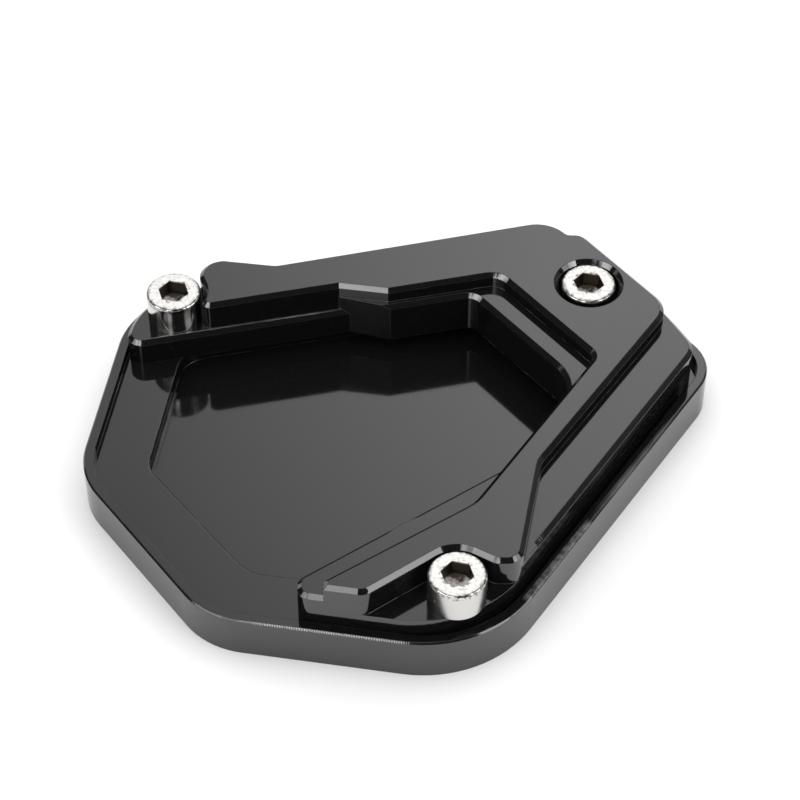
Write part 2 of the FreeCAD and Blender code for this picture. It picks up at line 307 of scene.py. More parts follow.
@dataclass(frozen=True)
class Swell:
    """A wavy unevenness.

    Attributes:
        size: The size of its largest waves.
        depth: Their height.
        detail: How many finer waves they carry.
    """

    size: float
    depth: float
    detail: Detail = Detail.SMOOTH

    def draw(self, sheet: NodeSheet, place: Socket) -> Socket:
        """Draws the waves, and gives their height at the coordinates."""
        return sheet.product(sheet.noise(place, self.size, self.detail), self.depth)


@dataclass(frozen=True)
class Lines:
    """Fine even lines that a tool left.

    Attributes:
        pitch: Distance from one line to the next.
        depth: Their height.
        wander: How much they stray.
    """

    pitch: float
    depth: float
    wander: float

    def draw(self, sheet: NodeSheet, place: Socket, pattern: Lay = Lay.STRAIGHT) -> Socket:
        """Draws the lines, and gives their height at the coordinates."""
        return sheet.product(sheet.waves(place, self.pitch, self.wander, pattern), self.depth)


@dataclass(frozen=True)
class TickRow:
    """A row of short marks of bare metal across a narrow strip: chatter that a cutter left, and in two rows a
    painted highlight where the marks run into a line.

    Attributes:
        start: One end of the strip's middle line, in the plan.
        end: Its other end.
        heights: The marks are only between these heights.
        half_width: Half the strip's width.
        pitch: Distance from one mark to the next.
        bare: Share of bare metal in the marks.
        ground: How strong the marks are between their lines, where they run together into the even line of a
            painted highlight.
        crest: Values of the wave of marks where a mark starts and where it is full.
        jitter: How far a mark strays at most, as an angle of that wave in radians.
        jitter_run: How soon that changes, in pitches.
        end_fade: How far the row fades at its ends, in pitches.
        side_fade: Where it has faded out at its sides, in half widths.
        patch_size: The size of its strong and weak patches, in pitches.
        patch_edge: Values of their noise where a patch starts and where it is full.
        patch_strength: How strong the marks are outside the patches and in them.
    """

    start: PlanPoint
    end: PlanPoint
    heights: Range
    half_width: float
    pitch: float
    bare: float
    ground: float = 0.0
    crest: Range = (-0.3, 0.7)
    jitter: float = 5.0
    jitter_run: float = 4.0
    end_fade: float = 2.0
    side_fade: float = 1.3
    patch_size: float = 2.5
    patch_edge: Range = (0.35, 0.6)
    patch_strength: Range = (0.3, 1.0)

    def draw(self, sheet: NodeSheet, place: Socket) -> Socket:
        """Draws the marks.

        Args:
            sheet: The material's nodes.
            place: The coordinates' socket.

        Returns:
            How strong a mark is, from 0 to 1.
        """
        run = Vector((*self.end, 0.0)) - Vector((*self.start, 0.0))
        along_way = run.normalized()
        aside_way = Vector((-along_way.y, along_way.x, 0.0))
        from_start = sheet.minus(place, (*self.start, 0.0))
        along = sheet.dot(from_start, tuple(along_way))
        aside = sheet.compute("ABSOLUTE", sheet.dot(from_start, tuple(aside_way)))
        height = sheet.axis(place, "Z")
        jitter = sheet.product(sheet.noise(place, self.jitter_run * self.pitch), self.jitter)
        wave = sheet.compute("SINE", sheet.sum(sheet.product(along, math.tau / self.pitch), jitter))
        fade = self.end_fade * self.pitch
        patches = Patches(self.patch_size * self.pitch, self.patch_edge, self.patch_strength)
        return sheet.product(
            sheet.spread(wave, self.crest, (self.ground, 1.0)),
            sheet.spread(along, (0.0, fade)),
            sheet.spread(along, (run.length - fade, run.length), FALLING),
            sheet.spread(aside, (self.half_width, self.side_fade * self.half_width), FALLING),
            sheet.compute("GREATER_THAN", height, self.heights[0]),
            sheet.compute("LESS_THAN", height, self.heights[1]),
            patches.draw(sheet, place),
        )


@dataclass(frozen=True)
class Rounding:
    """A region where edges are broken further than elsewhere.

    Attributes:
        low: The region's lowest corner.
        high: Its highest corner.
        radius: How far the edges are rounded there.
    """

    low: Point
    high: Point
    radius: float

    def mask(self, sheet: NodeSheet, place: Socket) -> Socket:
        """Marks the region.

        Args:
            sheet: The material's nodes.
            place: The coordinates' socket.

        Returns:
            A socket that is 1 inside and 0 outside.
        """
        middle = tuple((a + b) / 2 for a, b in zip(self.low, self.high))
        reach = tuple((b - a) / 2 for a, b in zip(self.low, self.high))
        away = sheet.vector("ABSOLUTE", sheet.minus(place, middle)).outputs["Vector"]
        inside = (sheet.compute("LESS_THAN", sheet.axis(away, name), end) for name, end in zip("XYZ", reach))
        return sheet.product(*inside)


@dataclass(frozen=True)
class BlackAnodise:
    """Gloss black anodising over milled aluminium, with a little wear on its sharp edges and painted
    highlights of bare metal along a few edges.

    Attributes:
        name: The material's name.
        lay_pattern: How the face mill's lines lie on level faces.
        lay_centre: The middle of its arcs, or any point for straight lines.
        lay_angle: The way that straight lines run.
        tick_and_highlight_rows: Where the cutter chattered more, and painted highlights of bare metal along a
            few edges.
        roundings: Where edges are broken further.
        colour: The dyed layer.
        specks: Where its fine specks are.
        speck_gain: How many times lighter they are.
        ior: How strongly the sealed surface mirrors.
        roughness: The surface's, least where it is clean and most where it was handled.
        edge_radius: How far sharp edges are broken.
        edge_samples: How many rays look for the edge.
        bare_and_highlight_metal: Colour where wear goes through the layer, and of the painted highlights.
        bare_roughness: Roughness there.
        wear: Share of bare metal on a broken edge, from patch to patch.
        wear_turn: How far the normal has turned where wear starts and where it is full, as 1 less a cosine.
        level_rise: Upright part of the normal where a face begins to count as level, and where it does fully.
        slant_gap: How far from a 45-degree slope a face still counts as one, fully and at all.
        upright_rise: Upright part of the normal where a wall still counts as upright, fully and at all.
        lay: The lines on level faces.
        chatter: The ticks on slanted edges, along X.
        chatter_patches: Where they are.
        tick_depth: Height of the rows of ticks.
        feed: The lines on walls.
        feed_stretch: How their noise is stretched.
        sway: The slow waves in every surface.
        grain: The finest grain of every surface.
    """

    name: str
    lay_pattern: Lay = Lay.STRAIGHT
    lay_centre: Point = ORIGIN
    lay_angle: float = 0.0
    tick_and_highlight_rows: tuple[TickRow, ...] = ()
    roundings: tuple[Rounding, ...] = ()
    colour: Colour = (0.0048, 0.0048, 0.0050)
    specks: Patches = Patches(0.00035, (0.55, 0.75), detail=Detail.COARSE)
    speck_gain: float = 2.2
    ior: float = 1.8
    roughness: Patches = Patches(0.018, (0.35, 0.65), (0.05, 0.08), Detail.FINE)
    edge_radius: float = 0.00015
    edge_samples: int = 8
    bare_and_highlight_metal: Colour = (0.45, 0.45, 0.46)
    bare_roughness: float = 0.38
    wear: Patches = Patches(0.004, (0.45, 0.7), (0.02, 0.3), Detail.FINEST)
    wear_turn: Range = (0.01, 0.07)
    level_rise: Range = (0.9, 0.98)
    slant_gap: Range = (0.04, 0.1)
    upright_rise: Range = (0.05, 0.15)
    lay: Lines = Lines(pitch=0.0007, depth=4e-7, wander=0.8)
    chatter: Lines = Lines(pitch=0.00045, depth=2e-6, wander=1.5)
    chatter_patches: Patches = Patches(0.012, (0.35, 0.6))
    tick_depth: float = 4e-6
    feed: Swell = Swell(0.006, 1.6e-6, Detail.FINE)
    feed_stretch: Point = (1.0, 1.0, 12.0)
    sway: Swell = Swell(0.009, 4e-6)
    grain: Swell = Swell(0.00012, 1.6e-7)

    def build(self) -> bpy.types.Material:
        """Makes the material.

        Returns:
            A black gloss layer with the relief of milling, over bare metal on edges with wear and on the
            painted highlights.
        """
        material = bpy.data.materials.new(self.name)
        sheet = NodeSheet.of(material)
        place = sheet.add("ShaderNodeTexCoord").outputs["Object"]
        flat = sheet.add("ShaderNodeNewGeometry").outputs["True Normal"]
        radius = self._radius(sheet, place)
        broken = sheet.add("ShaderNodeBevel", {"Radius": radius}, samples=self.edge_samples).outputs["Normal"]
        marks = [row.draw(sheet, place) for row in self.tick_and_highlight_rows]
        ticks = [sheet.product(mark, self.tick_depth) for mark in marks]
        normal = sheet.relief(sheet.sum(self._height(sheet, place, flat), *ticks), broken)
        # Bare metal of the rows: chatter, and painted highlights along the seat's edge and the rim on the
        # right.
        bare_and_highlights = [sheet.product(mark, row.bare) for mark, row in zip(marks, self.tick_and_highlight_rows)]
        wear_and_highlights = reduce(sheet.larger, bare_and_highlights, self._wear(sheet, place, flat, broken))
        shaders = {1: self._layer(sheet, place, normal), 2: self._metal(sheet, normal)}
        both = sheet.add("ShaderNodeMixShader", {0: wear_and_highlights, **shaders})
        sheet.finish(both.outputs[0])
        return material

    def _radius(self, sheet: NodeSheet, place: Socket) -> object:
        """How far edges are rounded, here and there.

        Args:
            sheet: The material's nodes.
            place: The coordinates' socket.

        Returns:
            The radius, as a number or a socket.
        """
        radius = self.edge_radius
        for rounding in self.roundings:
            radius = sheet.blend(rounding.mask(sheet, place), radius, rounding.radius)
        return radius

    def _layer(self, sheet: NodeSheet, place: Socket, normal: Socket) -> Socket:
        """The dyed and sealed layer, a little duller where it was handled.

        Args:
            sheet: The material's nodes.
            place: The coordinates' socket.
            normal: The relief's normal.

        Returns:
            The shader's socket.
        """
        grey = tuple(self.speck_gain * value for value in self.colour)
        inputs = {
            "Base Color": sheet.tint(self.specks.draw(sheet, place), self.colour, grey),
            "IOR": self.ior,
            "Roughness": self.roughness.draw(sheet, place),
            "Normal": normal,
        }
        return sheet.add("ShaderNodeBsdfPrincipled", inputs).outputs[0]

    def _metal(self, sheet: NodeSheet, normal: Socket) -> Socket:
        """The aluminium where the layer is gone and where a highlight is painted, with the relief's normal.
        """
        inputs = {
            "Base Color": opaque(self.bare_and_highlight_metal),
            "Metallic": 1.0,
            "Roughness": self.bare_roughness,
            "Normal": normal,
        }
        return sheet.add("ShaderNodeBsdfPrincipled", inputs).outputs[0]

    def _height(self, sheet: NodeSheet, place: Socket, flat: Socket) -> Socket:
        """The relief that milling leaves.

        Args:
            sheet: The material's nodes.
            place: The coordinates' socket.
            flat: The flat normal of the face.

        Returns:
            The height's socket.
        """
        rise = sheet.compute("ABSOLUTE", sheet.axis(flat, "Z"))
        off_slant = sheet.compute("ABSOLUTE", sheet.compute("SUBTRACT", rise, SLANT_RISE))
        level = sheet.spread(rise, self.level_rise)
        slant = sheet.spread(off_slant, self.slant_gap, FALLING)
        upright = sheet.spread(rise, self.upright_rise, FALLING)
        turn = (0.0, 0.0, math.radians(self.lay_angle))
        layout = {"Vector": place, "Location": self.lay_centre, "Rotation": turn}
        turned = sheet.add("ShaderNodeMapping", layout, vector_type="TEXTURE").outputs[0]
        stretched = sheet.stretched(place, self.feed_stretch)
        return sheet.sum(
            sheet.product(self.lay.draw(sheet, turned, self.lay_pattern), level),
            sheet.product(self.feed.draw(sheet, stretched), upright),
            sheet.product(self.chatter.draw(sheet, place), slant, self.chatter_patches.draw(sheet, place)),
            self.sway.draw(sheet, place),
            self.grain.draw(sheet, place),
        )

    def _wear(self, sheet: NodeSheet, place: Socket, flat: Socket, broken: Socket) -> Socket:
        """The share of bare metal, in patches where the broken normal turns away from the flat one."""
        edge = sheet.spread(sheet.rest(sheet.dot(flat, broken)), self.wear_turn)
        return sheet.product(edge, self.wear.draw(sheet, place))


@dataclass(frozen=True)
class Spot:
    """Where a point of a screw is, as sockets of its material.

    Attributes:
        place: Coordinates of the frame.
        centred: Coordinates from the screw's axis.
        flat: The same in the plan.
        reach: Distance from the axis.
        height: Height above the ground.
        level: How level the face is, from 0 to 1.
        inside: How much it is in the socket, from 0 to 1.
        bottom: How much it is at the socket's bottom, from 0 to the bottom's share.
    """

    place: Socket
    centred: Socket
    flat: Socket
    reach: Socket
    height: Socket
    level: Socket
    inside: Socket
    bottom: Socket


@dataclass(frozen=True)
class BrightSteel:
    """Bright stainless steel: turned on top, polished round the head, and dark in the socket from oil, oxide
    and painted shade.

    Attributes:
        name: The material's name.
        axis: The screw's axis, on the ground.
        top: Height of the head's top.
        socket_reach: How far the socket's corners are from the axis.
        socket_floor: Height of the socket's floor, over its drilled bottom.
        side_roughness: Least and most on the polished side.
        colour: The clean metal on top.
        side_colour: The same on the side.
        bottom_colour: The bright metal of the socket's bottom, kept on its front part, where no shade is
            painted.
        dull_and_shade_colour: A dark brownish metal: mottle and nicks on top, oil and oxide on the socket's
            walls, and painted shade on those walls and on the far part of the socket's bottom.
        mottle: How dull the metal on level faces is, from patch to patch.
        level_metallic: Metallic share on frosted level faces.
        top_roughness: Least and most on the turned top.
        inside_roughness: On the socket's walls and on its bottom.
        smudge_size: The size of smudges.
        smudge_edge: Values of their noise where the metal is brightest and dullest.
        level_rise: Upright part of the normal where a face begins to count as level, and where it does fully.
        mouth_reach: Where the socket's finish starts to fade and where it ends, from its corners outwards.
        mouth_depth: Where that finish is full and where it ends, from the top.
        floor_depth: Where the bottom's finish is full and where it ends, from the socket's floor.
        bottom_share: How much of its finish the bottom gets.
        shade_edge: Where the painted shade on the socket's bottom starts and where it is full, from the axis
            to the back.
        shade_drift: How its edge strays.
        nick_depth: Where nicks start and where they are full, from the top.
        nick_strength: How dull they are.
        rim_reach: Where the rim's nicks start and where they are full, from the axis.
        key_reach: Where the key's nicks are full and where they end, from the socket's corners.
        dent_size: The size of all nicks.
        rim_dents: Values of their noise where a nick in the rim starts and where it is full.
        key_dents: The same for the key's nicks.
        scratches: How dull the scratches are.
        scratch_stretch: How their noise is stretched.
        scratch_angle: The way that they run.
        turning: The turned rings on top.
        scuffs: The small unevenness.
        sway: The slow unevenness.
    """

    name: str
    axis: Point
    top: float
    socket_reach: float
    socket_floor: float
    side_roughness: Range
    colour: Colour = (0.81, 0.80, 0.775)
    side_colour: Colour = (0.70, 0.69, 0.67)
    bottom_colour: Colour = (0.96, 0.89, 0.86)
    dull_and_shade_colour: Colour = (0.070, 0.056, 0.043)
    mottle: Patches = Patches(0.0006, (0.45, 0.65), (0.0, 0.22), Detail.FINE)
    level_metallic: float = 0.25
    top_roughness: Range = (0.30, 0.42)
    inside_roughness: Range = (0.42, 0.5)
    smudge_size: float = 0.0025
    smudge_edge: Range = (0.3, 0.7)
    level_rise: Range = (0.9, 0.99)
    mouth_reach: Range = (0.00002, 0.00008)
    mouth_depth: Range = (-0.00035, -0.00012)
    floor_depth: Range = (-0.0001, 0.0001)
    bottom_share: float = 0.95
    shade_edge: Range = (0.0021, 0.0029)
    shade_drift: Swell = Swell(0.0012, 0.0024, Detail.FINE)
    nick_depth: Range = (-0.0011, -0.0008)
    nick_strength: float = 0.75
    rim_reach: Range = (0.0041, 0.0046)
    key_reach: Range = (0.0, 0.0003)
    dent_size: float = 0.0007
    rim_dents: Range = (0.47, 0.56)
    key_dents: Range = (0.52, 0.60)
    scratches: Patches = Patches(0.0035, (0.66, 0.70), (0.0, 0.35))
    scratch_stretch: Point = (1.0, 9.0, 1.0)
    scratch_angle: float = 35.0
    turning: Lines = Lines(pitch=0.0002, depth=2e-6, wander=0.6)
    scuffs: Swell = Swell(0.00025, 4e-6, Detail.EVEN)
    sway: Swell = Swell(0.004, 5e-5)

    def build(self) -> bpy.types.Material:
        """Makes the material.

        Returns:
            The metal, with its own finish on each part of the screw.
        """
        material = bpy.data.materials.new(self.name)
        sheet = NodeSheet.of(material)
        spot = self._spot(sheet)
        inputs = {
            "Base Color": self._colour(sheet, spot),
            "Metallic": self._metallic(sheet, spot),
            "Roughness": self._roughness(sheet, spot),
            "Normal": sheet.relief(self._height(sheet, spot)),
        }
        sheet.finish(sheet.add("ShaderNodeBsdfPrincipled", inputs).outputs[0])
        return material

    def _spot(self, sheet: NodeSheet) -> Spot:
        """Works out where a point is on the screw.

        Args:
            sheet: The material's nodes.

        Returns:
            Its place, and the parts of the screw that it lies on.
        """
        place = sheet.add("ShaderNodeTexCoord").outputs["Object"]
        normal = sheet.add("ShaderNodeNewGeometry").outputs["True Normal"]
        centred = sheet.minus(place, self.axis)
        flat = sheet.vector("MULTIPLY", centred, IN_PLAN).outputs["Vector"]
        reach = sheet.vector("LENGTH", flat).outputs["Value"]
        height = sheet.axis(place, "Z")
        within_walls = sheet.spread(reach, around(self.socket_reach, self.mouth_reach), FALLING)
        under_top = sheet.spread(height, around(self.top, self.mouth_depth), FALLING)
        near_floor = around(self.socket_floor, self.floor_depth)
        return Spot(
            place=place,
            centred=centred,
            flat=flat,
            reach=reach,
            height=height,
            level=sheet.spread(sheet.axis(normal, "Z"), self.level_rise),
            inside=sheet.product(within_walls, under_top),
            bottom=sheet.spread(height, near_floor, (self.bottom_share, 0.0)),
        )

    def _colour(self, sheet: NodeSheet, spot: Spot) -> Socket:
        """The metal's colour, dulled by nicks and a fine mottle, with oil and painted shade inside the
        socket.

        Args:
            sheet: The material's nodes.
            spot: Where the point is.

        Returns:
            The colour's socket.
        """
        clean = sheet.tint(spot.level, self.side_colour, self.colour)
        clean = sheet.tint(spot.inside, clean, self.bottom_colour)
        mottled = sheet.product(self.mottle.draw(sheet, spot.place), spot.level)
        clean = sheet.tint(mottled, clean, self.dull_and_shade_colour)
        # Painted shade: the far part of the socket's bottom takes the dark colour, and the socket's walls
        # take it for oil and oxide and for painted shade.
        unshaded = sheet.product(spot.inside, spot.bottom, self._unshaded_bottom(sheet, spot))
        oil_and_shade = sheet.compute("SUBTRACT", spot.inside, unshaded)
        return sheet.tint(sheet.larger(oil_and_shade, self._nicks(sheet, spot)), clean, self.dull_and_shade_colour)

    def _metallic(self, sheet: NodeSheet, spot: Spot) -> Socket:
        """How metallic the surface is: less where turning frosted it.

        Args:
            sheet: The material's nodes.
            spot: Where the point is.

        Returns:
            The share's socket.
        """
        outside = sheet.product(spot.level, sheet.rest(spot.inside))
        frosted = sheet.larger(outside, sheet.product(spot.inside, spot.bottom))
        return sheet.blend(frosted, 1.0, self.level_metallic)

    def _roughness(self, sheet: NodeSheet, spot: Spot) -> Socket:
        """The roughness of the top, the side and the socket.

        Args:
            sheet: The material's nodes.
            spot: Where the point is.

        Returns:
            The roughness's socket.
        """
        smudge = sheet.noise(spot.place, self.smudge_size, Detail.FINE)
        top = sheet.spread(smudge, self.smudge_edge, self.top_roughness)
        side = sheet.spread(smudge, self.smudge_edge, self.side_roughness)
        inside = sheet.blend(spot.bottom, *self.inside_roughness)
        return sheet.blend(spot.inside, sheet.blend(spot.level, side, top), inside)

    def _unshaded_bottom(self, sheet: NodeSheet, spot: Spot) -> Socket:
        """The share of the socket's bottom that stays bright; its far part, towards the back, gets painted
        shade.
        """
        back = sheet.sum(sheet.axis(spot.centred, "Y"), self.shade_drift.draw(sheet, spot.centred))
        return sheet.spread(back, self.shade_edge, FALLING)

    def _nicks(self, sheet: NodeSheet, spot: Spot) -> Socket:
        """Dark nicks and scratches that keys and washers left on the top and on its edges.

        Args:
            sheet: The material's nodes.
            spot: Where the point is.

        Returns:
            How dull the metal is there, from 0 to 1.
        """
        high = sheet.spread(spot.height, around(self.top, self.nick_depth))
        rim = sheet.spread(spot.reach, self.rim_reach)
        key = sheet.spread(spot.reach, around(self.socket_reach, self.key_reach), FALLING)
        dents = sheet.noise(spot.place, self.dent_size, Detail.FINE)
        torn_rim = sheet.product(rim, sheet.spread(dents, self.rim_dents))
        torn_key = sheet.product(key, sheet.spread(dents, self.key_dents))
        torn = sheet.product(sheet.larger(torn_rim, torn_key), self.nick_strength)
        scratched = sheet.stretched(spot.place, self.scratch_stretch, self.scratch_angle)
        return sheet.product(high, sheet.larger(torn, self.scratches.draw(sheet, scratched)))

    def _height(self, sheet: NodeSheet, spot: Spot) -> Socket:
        """The height of the turned rings on the top, and of a rolled side's unevenness."""
        return sheet.sum(
            sheet.product(self.turning.draw(sheet, spot.flat, Lay.ARCS), spot.level),
            self.scuffs.draw(sheet, spot.place),
            self.sway.draw(sheet, spot.place),
        )


@dataclass(frozen=True)
class Piece(ABC):
    """A piece of the object, which is dressed where it lies.

    Attributes:
        node: Its CAD node.
    """

    node: str

    @abstractmethod
    def finish(self) -> BlackAnodise | BrightSteel:
        """The finish of the whole piece."""

    def dress(self, nodes: dict[str, bpy.types.Object]) -> bpy.types.Object:
        """Makes the finish the only material of the piece.

        Args:
            nodes: The CAD nodes by name.

        Returns:
            The dressed object.
        """
        piece = nodes[self.node]
        piece.data.materials.clear()
        piece.data.materials.append(self.finish().build())
        return piece


@dataclass(frozen=True)
class BasePlate(Piece):
    """The wide plate on the ground, with its rim, recess and pocket.

    Attributes:
        arc_centre: The middle of the arcs that the face mill swung in.
        screw_ticks: Chatter on the rim beside the front screw.
        right_rim_highlight: A painted highlight: a faint, nearly even band of bare metal further to the right
            on the rim, with a weak wave of relief.
        front_ticks: Chatter on the outer edge of the rim at the front.
        pocket_foot: The wide rounding where the pocket's wall meets its floor.
        pocket_edge: The soft upper edge of that wall.
    """

    node: str = "base_plate"
    arc_centre: Point = (0.30, -0.12, 0.0)
    screw_ticks: TickRow = TickRow(
        start=(0.0209, -0.0398),
        end=(0.0330, -0.0218),
        heights=(0.0084, 0.0087),
        half_width=0.0006,
        pitch=0.00045,
        bare=0.7,
        ground=0.5,
    )
    # Painted highlight: a faint band of bare metal along the rim's edge on the right stands in for the light
    # that this edge catches.
    right_rim_highlight: TickRow = TickRow(
        start=(0.0326, -0.0224),
        end=(0.0490, 0.0020),
        heights=(0.0084, 0.0087),
        half_width=0.0006,
        pitch=0.004,
        bare=0.28,
        ground=0.9,
    )
    front_ticks: TickRow = TickRow(
        start=(-0.0250, -0.0441),
        end=(0.0018, -0.0486),
        heights=(0.0082, 0.00858),
        half_width=0.0007,
        pitch=0.00042,
        bare=0.85,
    )
    pocket_foot: Rounding = Rounding((-0.048, -0.012, 0.0025), (-0.030, 0.013, 0.0055), radius=0.0011)
    pocket_edge: Rounding = Rounding((-0.047, -0.036, 0.0063), (-0.020, 0.020, 0.0067), radius=0.0004)

    def finish(self) -> BlackAnodise:
        """Black anodising over a floor milled in wide arcs."""
        return BlackAnodise(
            name="black anodise base",
            lay_pattern=Lay.ARCS,
            lay_centre=self.arc_centre,
            tick_and_highlight_rows=(self.screw_ticks, self.right_rim_highlight, self.front_ticks),
            roundings=(self.pocket_foot, self.pocket_edge),
        )


@dataclass(frozen=True)
class ClampPlate(Piece):
    """The C-shaped plate on three levels.

    Attributes:
        lay_angle: The way that the face mill's lines run.
        ledge_ticks: Chatter on the wall of the ledge, beside the front screw.
        seat_edge_highlight: A painted highlight: a thin line of bare metal along the front edge of the left
            screw's seat, where that edge catches the light.
    """

    node: str = "clamp_plate"
    lay_angle: float = 12.5
    ledge_ticks: TickRow = TickRow(
        start=(0.0222, -0.0331),
        end=(0.0241, -0.0302),
        heights=(0.0142, 0.01505),
        half_width=0.0009,
        pitch=0.00052,
        bare=0.12,
    )
    # Painted highlight: a thin, nearly even line of bare metal along the seat's front edge stands in for the
    # light that the edge catches.
    seat_edge_highlight: TickRow = TickRow(
        start=(-0.0469, 0.01835),
        end=(-0.0103, 0.02636),
        heights=(0.0118, 0.0121),
        half_width=0.00010,
        pitch=0.004,
        bare=1.0,
        ground=0.7,
    )

    def finish(self) -> BlackAnodise:
        """Black anodising over faces milled in straight lines."""
        return BlackAnodise(
            name="black anodise clamp",
            lay_angle=self.lay_angle,
            tick_and_highlight_rows=(self.ledge_ticks, self.seat_edge_highlight),
        )


@dataclass(frozen=True)
class Screw(Piece):
    """A socket head screw.

    Attributes:
        polish: How bright the side of its head is.
        socket_across_flats: Width of its socket.
        socket_depth: Depth of its socket.
    """

    polish: Polish
    socket_across_flats: float = 0.005
    socket_depth: float = 0.003

    def finish(self) -> BrightSteel:
        """Bright steel, fitted to the screw's place.

        Returns:
            The finish.
        """
        low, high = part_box(self.node)
        top = high[2]
        return BrightSteel(
            name=f"bright steel {self.node}",
            axis=((low[0] + high[0]) / 2, (low[1] + high[1]) / 2, 0.0),
            top=top,
            socket_reach=self.socket_across_flats / math.sqrt(3),
            socket_floor=top - self.socket_depth,
            side_roughness=self.polish.value,
        )


def direction(azimuth: float, elevation: float) -> Vector:
    """A way of length 1, by degrees to the right of the photographer and degrees above the horizon."""
    turn, rise = math.radians(azimuth), math.radians(elevation)
    return Vector((math.sin(turn) * math.cos(rise), -math.cos(turn) * math.cos(rise), math.sin(rise)))


@dataclass(frozen=True)
class Ramp:
    """A brightness that changes along an angle, and stays level beyond both ends.

    Attributes:
        angles: Where it starts and ends.
        values: The brightness there.
    """

    angles: Range = (0.0, 1.0)
    values: Range = (1.0, 1.0)

    @classmethod
    def even(cls, value: float) -> "Ramp":
        """A brightness that is the same at every angle."""
        return cls(values=(value, value))


@dataclass(frozen=True)
class Panel:
    """A part of the room that reflections show: a lamp's face, a lit ceiling or a wall.

    Attributes:
        name: Its name.
        azimuth: Its middle, to the right of the photographer's place.
        half_width: The angle from its middle to its left and right ends.
        elevations: Its lower and upper edges, above the horizon.
        across: Its brightness from left to right, by the angle from its middle.
        up: A factor on that, by the angle above the horizon.
        softness: Half the width of its blurred edge.
        lamp: Whether it also lights the object.
    """

    name: str
    azimuth: float
    half_width: float
    elevations: Range
    across: Ramp
    up: Ramp = Ramp()
    softness: float = 1.0
    lamp: bool = False

    def draw(self, sheet: NodeSheet, way: Socket) -> Socket:
        """Draws the panel in the world's nodes.

        Args:
            sheet: The world's nodes.
            way: The direction's socket.

        Returns:
            Its brightness in every direction.
        """
        forward = sheet.dot(way, tuple(direction(self.azimuth, 0.0)))
        sideways = sheet.dot(way, tuple(direction(self.azimuth + 90.0, 0.0)))
        turn = sheet.product(sheet.compute("ARCTAN2", sideways, forward), math.degrees(1.0))
        rise = sheet.product(sheet.compute("ARCSINE", sheet.axis(way, "Z")), math.degrees(1.0))
        return sheet.product(
            sheet.spread(turn, self.across.angles, self.across.values),
            sheet.spread(rise, self.up.angles, self.up.values),
            self._edge(sheet, turn, -self.half_width, RISING),
            self._edge(sheet, turn, self.half_width, FALLING),
            self._edge(sheet, rise, self.elevations[0], RISING),
            self._edge(sheet, rise, self.elevations[1], FALLING),
        )

    def _edge(self, sheet: NodeSheet, angle: Socket, middle: float, shares: Range) -> Socket:
        """One blurred edge, with the shares of the panel before and after it."""
        return sheet.spread(angle, around(middle, (-self.softness, self.softness)), shares, smooth=True)

    def light(self, middle: Point, distance: float) -> bpy.types.Object:
        """Sets a lamp in the panel's place, which lights but shows in no reflection.

        Args:
            middle: The point that it faces.
            distance: How far it stands from that.

        Returns:
            The lamp's object.
        """
        lamp = bpy.data.lights.new(self.name, "AREA")
        lamp.shape = "RECTANGLE"
        rise = sum(self.elevations) / 2
        lamp.size = 2 * distance * math.tan(math.radians(self.half_width)) * math.cos(math.radians(rise))
        lamp.size_y = 2 * distance * math.tan(math.radians(self.elevations[1] - rise))
        lamp.energy = sum(self.across.values) / 2 * math.pi * lamp.size * lamp.size_y
        holder = bpy.data.objects.new(self.name, lamp)
        holder.visible_glossy = False
        aim(holder, middle, direction(self.azimuth, rise), distance)
        return holder


def aim(thing: bpy.types.Object, target: Point, away: Vector, distance: float) -> None:
    """Sets a lamp or camera up in the scene, facing a point.

    Args:
        thing: The lamp's or camera's object.
        target: The point that it faces.
        away: The way from the point to its place, of length 1.
        distance: How far it stands from the point.
    """
    thing.location = Vector(target) + away * distance
    thing.rotation_mode = "QUATERNION"
    thing.rotation_quaternion = away.to_track_quat("Z", "Y")
    bpy.context.scene.collection.objects.link(thing)


@dataclass(frozen=True)
class Floor:
    """A wide plain floor that keeps the shadow.

    Attributes:
        half_side: Half the length of its sides.
        colour: The paper's colour.
        lift: Brightness added for the camera alone, as an overexposed background has.
    """

    half_side: float = 6.0
    colour: Colour = (0.80, 0.80, 0.80)
    lift: float = 0.05

    def build(self) -> bpy.types.Object:
        """Makes the floor.

        Returns:
            The floor.
        """
        half = self.half_side
        mesh = bpy.data.meshes.new("floor")
        points = [(-half, -half, 0.0), (half, -half, 0.0), (half, half, 0.0), (-half, half, 0.0)]
        mesh.from_pydata(points, [], [(0, 1, 2, 3)])
        mesh.materials.append(self._paper())
        floor = bpy.data.objects.new("floor", mesh)
        bpy.context.scene.collection.objects.link(floor)
        return floor

    def _paper(self) -> bpy.types.Material:
        """Makes the paper.

        Returns:
            A dull white that glows a little for the camera.
        """
        material = bpy.data.materials.new("white paper")
        sheet = NodeSheet.of(material)
        seen = sheet.add("ShaderNodeLightPath").outputs["Is Camera Ray"]
        paper = sheet.add("ShaderNodeBsdfDiffuse", {"Color": opaque(self.colour)})
        glow = sheet.add("ShaderNodeEmission", {"Strength": sheet.product(seen, self.lift)})
        both = sheet.add("ShaderNodeAddShader", {0: paper.outputs[0], 1: glow.outputs[0]})
        sheet.finish(both.outputs[0])
        return material


